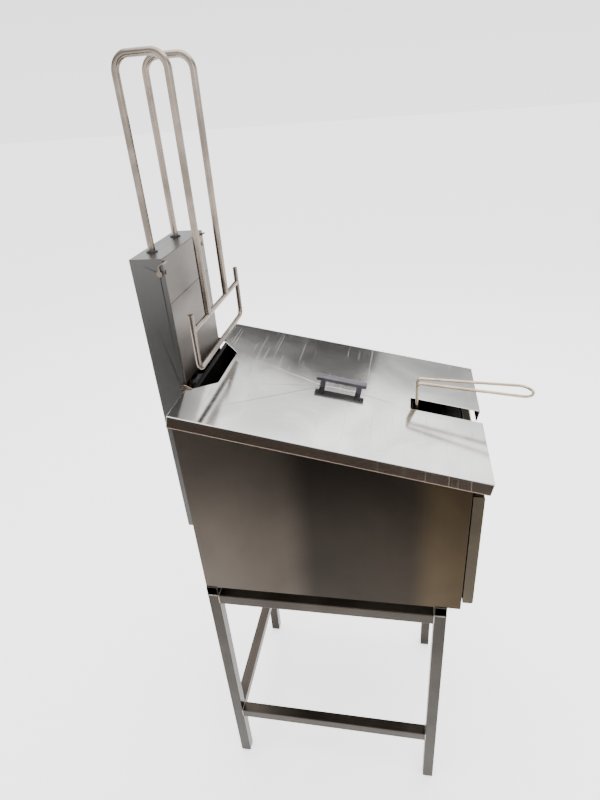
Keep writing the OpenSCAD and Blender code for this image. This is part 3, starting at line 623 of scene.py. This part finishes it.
@dataclass
class Tower:
    """The lift's tower, its covers and catches, and the drive inside."""

    def build(self, shop: Workshop) -> None:
        """Dresses the tower and the drive."""
        shop.dress("tower_sheet", "tower_casing")
        shop.dress("cover_sheet", "tower_cover_lower", "tower_cover_upper")
        shop.soften(0.0008, "tower_casing", "tower_cover_lower", "tower_cover_upper")
        shop.dress("bright_rod", "tower_catch_left", "tower_catch_right", "lid_pivot_pins")
        shop.dress("black", "rod_bushes")
        shop.dress("white", "rod_guides")
        shop.dress("grey_paint", "gear_motor")
        shop.dress("brass", "drive_pinion")
        shop.dress("satin", "motor_bracket", "drive_rack", "lift_crosshead")


@dataclass
class Lift:
    """The two bent rods and the hanger."""

    def build(self, shop: Workshop) -> None:
        """Dresses the rods and bars."""
        shop.dress("bright_rod", "cane_rod_left", "cane_rod_right", "hanger_crossbar", "hanger_frame")


@dataclass
class Lid:
    """The sloping lid with its handle."""

    def build(self, shop: Workshop) -> None:
        """Dresses the lid and its fittings."""
        shop.dress("lid_sheet", "lid_panel")
        shop.soften(0.0013, "lid_panel")
        shop.dress("bright_rod", "lid_hinge_ears", "lid_handle_screws")
        shop.dress("handle_black", "lid_handle")
        shop.soften(0.0012, "lid_handle")


@dataclass
class Basket:
    """The wire basket with its rim, hooks and handle."""

    pitch: float = 0.0125
    wire_r: float = 0.0009
    corner: float = 0.010

    def build(self, shop: Workshop) -> None:
        """Weaves the basket in place of its plain box, and dresses the rim and the handle."""
        shop.dress("wire", "basket_rim")
        shop.dress("nickel", "basket_handle")
        low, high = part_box("basket_body")
        inset = self.wire_r * 1.2
        seed = runs_mesh("basket_mesh", self._runs(
            (low[0] + inset, low[1] + inset, low[2] + inset), (high[0] - inset, high[1] - inset, high[2])))
        mesh = shop.wires.apply("basket_mesh", seed, shop.finishes["wire"], Radius=self.wire_r, Sides=6)
        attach(mesh, "basket")
        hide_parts("basket_body")

    def _runs(self, low: Point, high: Point) -> list[list[Point]]:
        """Returns the runs of the basket's wires: U shapes both ways, and rings round the walls."""
        runs: list[list[Point]] = []
        across = round((high[1] - low[1] - 2 * self.corner) / self.pitch)
        for i in range(across + 1):
            y = low[1] + self.corner + (high[1] - low[1] - 2 * self.corner) * i / across
            runs.append([(x, y, z) for x, z in self._u_shape(low[0], high[0], low[2], high[2])])
        along = round((high[0] - low[0] - 2 * self.corner) / self.pitch)
        for i in range(along + 1):
            x = low[0] + self.corner + (high[0] - low[0] - 2 * self.corner) * i / along
            runs.append([(x, y, z + 2 * self.wire_r)
                         for y, z in self._u_shape(low[1] + 2 * self.wire_r, high[1] - 2 * self.wire_r,
                                                   low[2], high[2] - 2 * self.wire_r)])
        rings = round((high[2] - low[2] - self.corner) / self.pitch)
        for i in range(rings):
            z = low[2] + self.corner + (high[2] - low[2] - self.corner) * i / rings
            runs.append(self._ring(low, high, z))
        return runs

    def _u_shape(self, left: float, right: float, bottom: float, top: float) -> list[tuple[float, float]]:
        """Returns a U with rounded corners, as pairs of a distance across and a height."""
        steps = 4
        path = [(left, top)]
        for i in range(steps + 1):
            a = math.pi / 2 * i / steps
            path.append((left + self.corner * (1 - math.cos(a)), bottom + self.corner * (1 - math.sin(a))))
        for i in range(steps + 1):
            a = math.pi / 2 * i / steps
            path.append((right - self.corner * (1 - math.sin(a)), bottom + self.corner * (1 - math.cos(a))))
        path.append((right, top))
        return path

    def _ring(self, low: Point, high: Point, z: float) -> list[Point]:
        """Returns a ring round the basket's walls at a height, just inside the upright wires."""
        gap = 2 * self.wire_r
        c = self.corner
        ring: list[Point] = []
        corners = [((high[0] - c, high[1] - c), 0.0), ((low[0] + c, high[1] - c), 90.0),
                   ((low[0] + c, low[1] + c), 180.0), ((high[0] - c, low[1] + c), 270.0)]
        for (x, y), start in corners:
            for step in range(5):
                a = math.radians(start + 22.5 * step)
                ring.append((x + (c - gap) * math.cos(a), y + (c - gap) * math.sin(a), z))
        ring.append(ring[0])
        return ring


@dataclass
class Studio:
    """The pale floor, the lights and the camera."""

    eye: Point = (-0.9973, -0.1134, 1.5855)
    heading: float = 77.75
    dip: float = 29.57
    roll: float = -4.72
    lens: float = 24.7
    side_flag_x: float = -1.25
    side_flag_span: tuple[float, float] = (-1.1, 1.3)
    side_flag_top: float = 0.95
    round_flag_centre: Point = (2.9, 0.5, 2.45)
    round_flag_r: float = 0.95
    surround: float = 2.45
    surround_tones: tuple[tuple[float, float], ...] = (
        (0.0, 1.0), (0.2, 0.85), (0.32, 0.35), (0.45, 0.42), (0.56, 0.7), (1.0, 0.7))
    floor_reach: float = 30.0
    floor_glow: float = 1.2

    def build(self) -> None:
        """Sets up the studio."""
        self._floor()
        self._world()
        self._softbox("top", (0.2, 0.0, 3.6), (0.0, 0.0, 0.6), 3.2, 3.2, 120.0)
        self._softbox("window", (2.6, -0.1, 3.1), (0.0, 0.0, 1.0), 4.2, 1.5, 60.0)
        self._flags()
        self._softbox("near", (-2.6, -1.6, 2.4), (0.0, 0.0, 0.9), 1.4, 1.4, 18.0)
        self._camera()

    def _floor(self) -> None:
        """Makes the plain floor."""
        reach = self.floor_reach
        mesh = bpy.data.meshes.new("floor")
        mesh.from_pydata([(-reach, -reach, 0.0), (reach, -reach, 0.0), (reach, reach, 0.0),
                          (-reach, reach, 0.0)], [], [(0, 1, 2, 3)])
        floor = bpy.data.objects.new("floor", mesh)
        bpy.context.collection.objects.link(floor)
        material = bpy.data.materials.new("pale_floor")
        material.use_nodes = True
        shader = material.node_tree.nodes["Principled BSDF"]
        shader.inputs["Base Color"].default_value = (0.96, 0.96, 0.96, 1.0)
        shader.inputs["Emission Color"].default_value = (1.0, 1.0, 1.0, 1.0)
        shader.inputs["Emission Strength"].default_value = self.floor_glow
        shader.inputs["Roughness"].default_value = 0.6
        mesh.materials.append(material)

    def _flags(self) -> None:
        """Places two black boards out of view, which the polished sheets mirror."""
        x, (near, far), top = self.side_flag_x, self.side_flag_span, self.side_flag_top
        self._board("side_flag", [(x, near, 0.0), (x, far, 0.0), (x, far, top), (x, near, top)])
        middle, radius, turns = self.round_flag_centre, self.round_flag_r, 64
        ring = [2.0 * math.pi * i / turns for i in range(turns)]
        self._board("round_flag", [(middle[0], middle[1] + radius * math.cos(a),
                                    middle[2] + radius * math.sin(a)) for a in ring])

    def _board(self, name: str, outline: Sequence[Point]) -> None:
        """Makes a flat black board that shows in reflections only."""
        mesh = bpy.data.meshes.new(name)
        mesh.from_pydata(list(outline), [], [tuple(range(len(outline)))])
        material = bpy.data.materials.new(f"{name}_black")
        material.use_nodes = True
        shader = material.node_tree.nodes["Principled BSDF"]
        shader.inputs["Base Color"].default_value = (0.03, 0.027, 0.025, 1.0)
        shader.inputs["Roughness"].default_value = 0.9
        mesh.materials.append(material)
        board = bpy.data.objects.new(name, mesh)
        board.visible_camera = False
        board.visible_shadow = False
        board.visible_diffuse = False
        bpy.context.collection.objects.link(board)

    def _world(self) -> None:
        """Sets a soft surround: bright overhead, with a dim band above the horizon."""
        world = bpy.data.worlds.new("studio")
        world.use_nodes = True
        tree = world.node_tree
        sky = tree.nodes["Background"]
        place = tree.nodes.new("ShaderNodeTexCoord")
        split = tree.nodes.new("ShaderNodeSeparateXYZ")
        link(tree, place.outputs["Generated"], split.inputs["Vector"])
        ramp = tree.nodes.new("ShaderNodeValToRGB")
        stops = ramp.color_ramp.elements
        for i, (position, grey) in enumerate(self.surround_tones):
            stop = stops[i] if i < 2 else stops.new(position)
            stop.position = position
            stop.color = (grey, grey, grey, 1.0)
        link(tree, split.outputs["Z"], ramp.inputs["Fac"])
        link(tree, ramp.outputs["Color"], sky.inputs["Color"])
        sky.inputs["Strength"].default_value = self.surround
        bpy.context.scene.world = world

    def _softbox(self, name: str, place: Point, aim: Point, width: float, height: float,
                 watts: float) -> None:
        """Adds a rectangular area light at a place, aimed at a point."""
        light = bpy.data.lights.new(name, "AREA")
        light.shape = "RECTANGLE"
        light.size = width
        light.size_y = height
        light.energy = watts
        lamp = bpy.data.objects.new(name, light)
        lamp.location = place
        lamp.rotation_euler = (Vector(aim) - Vector(place)).to_track_quat("-Z", "Y").to_euler()
        bpy.context.collection.objects.link(lamp)

    def _camera(self) -> None:
        """Adds the camera."""
        heading, dip, roll = (math.radians(a) for a in (self.heading, self.dip, self.roll))
        forward = Vector((math.sin(heading) * math.cos(dip), math.cos(heading) * math.cos(dip),
                          -math.sin(dip)))
        level = forward.cross(Vector((0.0, 0.0, 1.0))).normalized()
        rise = level.cross(forward)
        right = level * math.cos(roll) + rise * math.sin(roll)
        up = right.cross(forward)
        data = bpy.data.cameras.new("camera")
        data.lens = self.lens
        data.sensor_width = 36.0
        data.clip_end = 50.0
        camera = bpy.data.objects.new("camera", data)
        turn = Matrix((right, up, -forward)).transposed().to_4x4()
        camera.matrix_world = Matrix.Translation(Vector(self.eye)) @ turn
        bpy.context.collection.objects.link(camera)
        bpy.context.scene.camera = camera


def stock_finishes(shop: Workshop) -> None:
    """Builds every finish that the object shows."""
    # The side sheet's very dark warm tones and its stripes of tint are painted reflections of the
    # surroundings.
    warm_dark, warm_light = (0.05, 0.044, 0.039), (0.072, 0.064, 0.057)
    side_painted_reflections = ((-0.24, (0.60, 0.47, 0.30)), (-0.185, (0.72, 0.58, 0.38)), (-0.13, (0.34, 0.30, 0.26)),
                  (0.05, (0.32, 0.29, 0.26)), (0.12, (0.85, 0.78, 0.72)), (0.30, (1.0, 0.93, 0.86)))
    shop.add("side_sheet", MetalFinish("side_sheet", warm_light, warm_dark, roughness=0.32,
                                       roughness_spread=0.08, grain=Grain.ALONG_Z, grain_bump=0.03,
                                       smudge_size=3.0, wave_bump=0.03, brushing_share=0.12,
                                       painted_reflection_stripes=side_painted_reflections))
    shop.add("front_sheet", MetalFinish("front_sheet", (0.17, 0.16, 0.145), (0.10, 0.093, 0.083), 0.34,
                                        brushing_share=0.2))
    shop.add("fascia_sheet", MetalFinish("fascia_sheet", (0.07, 0.058, 0.04), (0.045, 0.037, 0.026), 0.34,
                                         0.1, Grain.ALONG_X, brushing_share=0.2))
    shop.add("deck_sheet", MetalFinish("deck_sheet", (0.03, 0.028, 0.026), (0.015, 0.014, 0.013), 0.4,
                                       0.1, Grain.ALONG_X, brushing_share=0.2))
    shop.add("tank_sheet", MetalFinish("tank_sheet", (0.14, 0.13, 0.12), (0.05, 0.045, 0.04), 0.4))
    shop.add("tower_sheet", MetalFinish("tower_sheet", (0.105, 0.102, 0.098), (0.075, 0.072, 0.069), 0.34,
                                        0.08, Grain.ALONG_Z, 0.04, 3.0, 0.03, brushing_share=0.15))
    shop.add("cover_sheet", MetalFinish("cover_sheet", (0.14, 0.12, 0.105), (0.09, 0.078, 0.067), 0.36,
                                        0.08, brushing_share=0.15))
    # The lid gets painted shade on its flange, standing in for the flange's dark reflections.
    shop.add("lid_sheet", MetalFinish("lid_sheet", (0.50, 0.495, 0.485), (0.36, 0.355, 0.35),
                                      roughness=0.13, roughness_spread=0.10, grain=Grain.ALONG_Y,
                                      grain_bump=0.02, smudge_size=7.0, wave_bump=0.10, scratch=0.12,
                                      brushing_share=0.2, painted_shade_depth=0.004))
    shop.add("tube_up", MetalFinish("tube_up", (0.045, 0.038, 0.032), (0.022, 0.019, 0.016), 0.3, 0.12,
                                    Grain.ALONG_Z))
    shop.add("tube_deep", MetalFinish("tube_deep", (0.055, 0.047, 0.04), (0.027, 0.023, 0.019), 0.3, 0.12,
                                      Grain.ALONG_Y))
    shop.add("tube_across", MetalFinish("tube_across", (0.055, 0.047, 0.04), (0.027, 0.023, 0.019), 0.3,
                                        0.12, Grain.ALONG_X))
    shop.add("weld", MetalFinish("weld", (0.42, 0.38, 0.33), (0.16, 0.14, 0.12), 0.4, 0.2, Grain.NONE,
                                 0.4, 120.0))
    shop.add("bright_rod", MetalFinish("bright_rod", (0.26, 0.22, 0.185), (0.14, 0.118, 0.098), 0.24,
                                       0.10, Grain.NONE, 0.02, 12.0, brushing_share=0.08))
    shop.add("satin", MetalFinish("satin", (0.5, 0.49, 0.47), (0.3, 0.29, 0.28), 0.32, 0.12, Grain.NONE))
    shop.add("wire", MetalFinish("wire", (0.62, 0.59, 0.54), (0.4, 0.37, 0.33), 0.28, 0.12, Grain.NONE,
                                 0.08, 40.0))
    shop.add("nickel", MetalFinish("nickel", (0.50, 0.40, 0.30), (0.30, 0.235, 0.17), 0.24, 0.12,
                                   Grain.NONE, 0.05, 30.0))
    shop.add("burnt", MetalFinish("burnt", (0.2, 0.17, 0.14), (0.06, 0.05, 0.05), 0.5, 0.2, Grain.NONE,
                                  0.3, 30.0))
    shop.add("brass", MetalFinish("brass", (0.72, 0.54, 0.26), (0.5, 0.35, 0.15), 0.3, 0.15, Grain.NONE,
                                  0.1, 40.0))
    shop.add("copper", MetalFinish("copper", (0.74, 0.4, 0.26), (0.5, 0.24, 0.15), 0.35, 0.15,
                                   Grain.NONE, 0.1, 40.0))
    shop.add("black", PlasticFinish("black", (0.035, 0.034, 0.036), (0.018, 0.017, 0.019), 0.45))
    shop.add("handle_black", PlasticFinish("handle_black", (0.045, 0.038, 0.05), (0.02, 0.017, 0.023),
                                           0.38, 700.0, 0.2))
    shop.add("ink", PlasticFinish("ink", (0.03, 0.03, 0.03), (0.02, 0.02, 0.02), 0.5))
    shop.add("red", PlasticFinish("red", (0.5, 0.03, 0.02), (0.36, 0.02, 0.015), 0.35, 500.0, 0.06))
    shop.add("white", PlasticFinish("white", (0.78, 0.76, 0.71), (0.66, 0.64, 0.59), 0.45))
    shop.add("amber", PlasticFinish("amber", (0.9, 0.42, 0.06), (0.8, 0.33, 0.04), 0.18, 200.0, 0.03,
                                    0.5))
    shop.add("grey_paint", PlasticFinish("grey_paint", (0.16, 0.18, 0.2), (0.1, 0.115, 0.13), 0.4,
                                         350.0, 0.12))


def main() -> None:
    """Builds the studio and every sub-assembly, and reports each."""
    logging.basicConfig(level=logging.INFO, format="%(name)s: %(message)s")
    Studio().build()
    shop = Workshop()
    stock_finishes(shop)
    for part in (Stand(), Cabinet(), Controls(), Tower(), Lift(), Lid(), Basket()):
        part.build(shop)
        log.info("built %s", type(part).__name__)


if __name__ == "__main__":
    main()
